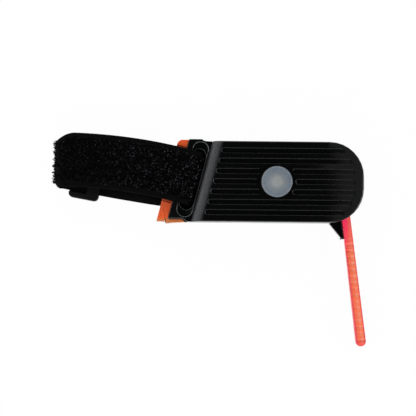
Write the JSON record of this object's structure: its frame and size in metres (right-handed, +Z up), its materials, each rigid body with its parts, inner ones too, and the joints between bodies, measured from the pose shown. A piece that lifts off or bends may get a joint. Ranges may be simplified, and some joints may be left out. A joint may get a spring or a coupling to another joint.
{
  "type": "tourniquet",
  "caption": "Limb tourniquet with a ribbed body, a loop-pile strap through a slanted slot, a fold-out ratchet lever that reels the strap in and a round release button with a light.",
  "frame": {"origin": "on the skin face, below the centre of the button", "axes": "+X along the body toward its rounded end, +Y across the body away from the lever, +Z up from the skin face to the button"},
  "size_m": [0.216, 0.1448, 0.0264],
  "materials": {
    "black_plastic": "satin moulded black",
    "black_rubber": "matte",
    "orange_plastic": "satin moulded orange",
    "red_clear_plastic": "see-through red",
    "frosted_plastic": "frosted clear",
    "webbing": "loop pile with smooth edges",
    "cord": "braided",
    "steel": "plain",
    "grey_nylon": "moulded",
    "board": "solder mask",
    "lens": "pale yellow"
  },
  "bodies": {
    "housing": {"front_cover": "black_plastic", "rear_shell": "black_plastic", "strap_guide": "orange_plastic", "skin_plate": "black_rubber", "button_seal": "black_rubber", "button_spring": "steel", "cell_holder": "grey_nylon", "coin_cell": "steel", "led_board": "board", "led": "lens", "cover_screw_1": "steel", "cover_screw_2": "steel", "cover_screw_3": "steel", "cover_screw_4": "steel", "skin_screw_1": "steel", "skin_screw_2": "steel", "skin_screw_3": "steel", "pawl_screw": "steel", "pawl_leaf": "steel", "reel_axle": "steel", "rocker_pin": "steel", "strap": "webbing", "tension_cord": "cord"},
    "lever": {"lever_hub": "black_plastic", "lever_grip": "red_clear_plastic", "grip_rivet_1": "steel", "grip_rivet_2": "steel", "drive_pawl_pin": "steel", "drive_pawl_spring": "steel"},
    "drive_pawl": {"drive_pawl": "steel"},
    "reel": {"reel": "grey_nylon", "drive_ratchet": "steel"},
    "carriage": {"carriage": "grey_nylon", "strap_bar": "steel", "cord_stop": "steel"},
    "button": {"button_cap": "frosted_plastic"},
    "rocker": {"release_rocker": "grey_nylon"},
    "keeper": {"keeper": "black_plastic"}
  },
  "joints": [
    {"name": "lever_swing", "type": "hinge", "parent": "housing", "child": "lever", "pos_m": [0.034, 0, 0.0057], "axis": [0, 0, 1], "range_deg": [-97, 0]},
    {"name": "reel_spin", "type": "hinge", "parent": "housing", "child": "reel", "pos_m": [0.034, 0, 0.0145], "axis": [0, 0, 1], "range_deg": [-98, 0]},
    {"name": "carriage_slide", "type": "slide", "parent": "housing", "child": "carriage", "axis": [1, 0, 0], "range_m": [0, 0.0206], "deforming": ["strap", "tension_cord"]},
    {"name": "drive_pawl_lift", "type": "hinge", "parent": "lever", "child": "drive_pawl", "pos_m": [0.026, -0.0068, 0.006], "axis": [0, 0, 1], "range_deg": [0, 15], "stiffness_Nm_per_rad": 0.02, "deforming": ["drive_pawl_spring"]},
    {"name": "button_press", "type": "slide", "parent": "housing", "child": "button", "axis": [0, 0, -1], "range_m": [0, 0.0015], "stiffness_N_per_m": 500, "springref_m": -0.0005, "deforming": ["button_spring"]},
    {"name": "rocker_tip", "type": "hinge", "parent": "housing", "child": "rocker", "pos_m": [0.0115, -0.0106, 0.0193], "axis": [0, -1, 0], "range_deg": [0, 14], "deforming": ["pawl_leaf"]},
    {"name": "keeper_slide", "type": "slide", "parent": "housing", "child": "keeper", "axis": [0.9838, -0.1791, 0], "range_m": [-0.004, 0.008]}
  ],
  "couplings": [
    {"joint": "reel_spin", "follows": "lever_swing", "ratio": 1},
    {"joint": "carriage_slide", "follows": "lever_swing", "m_per_rad": -0.01205},
    {"joint": "rocker_tip", "follows": "button_press", "rad_per_m": 147}
  ]
}
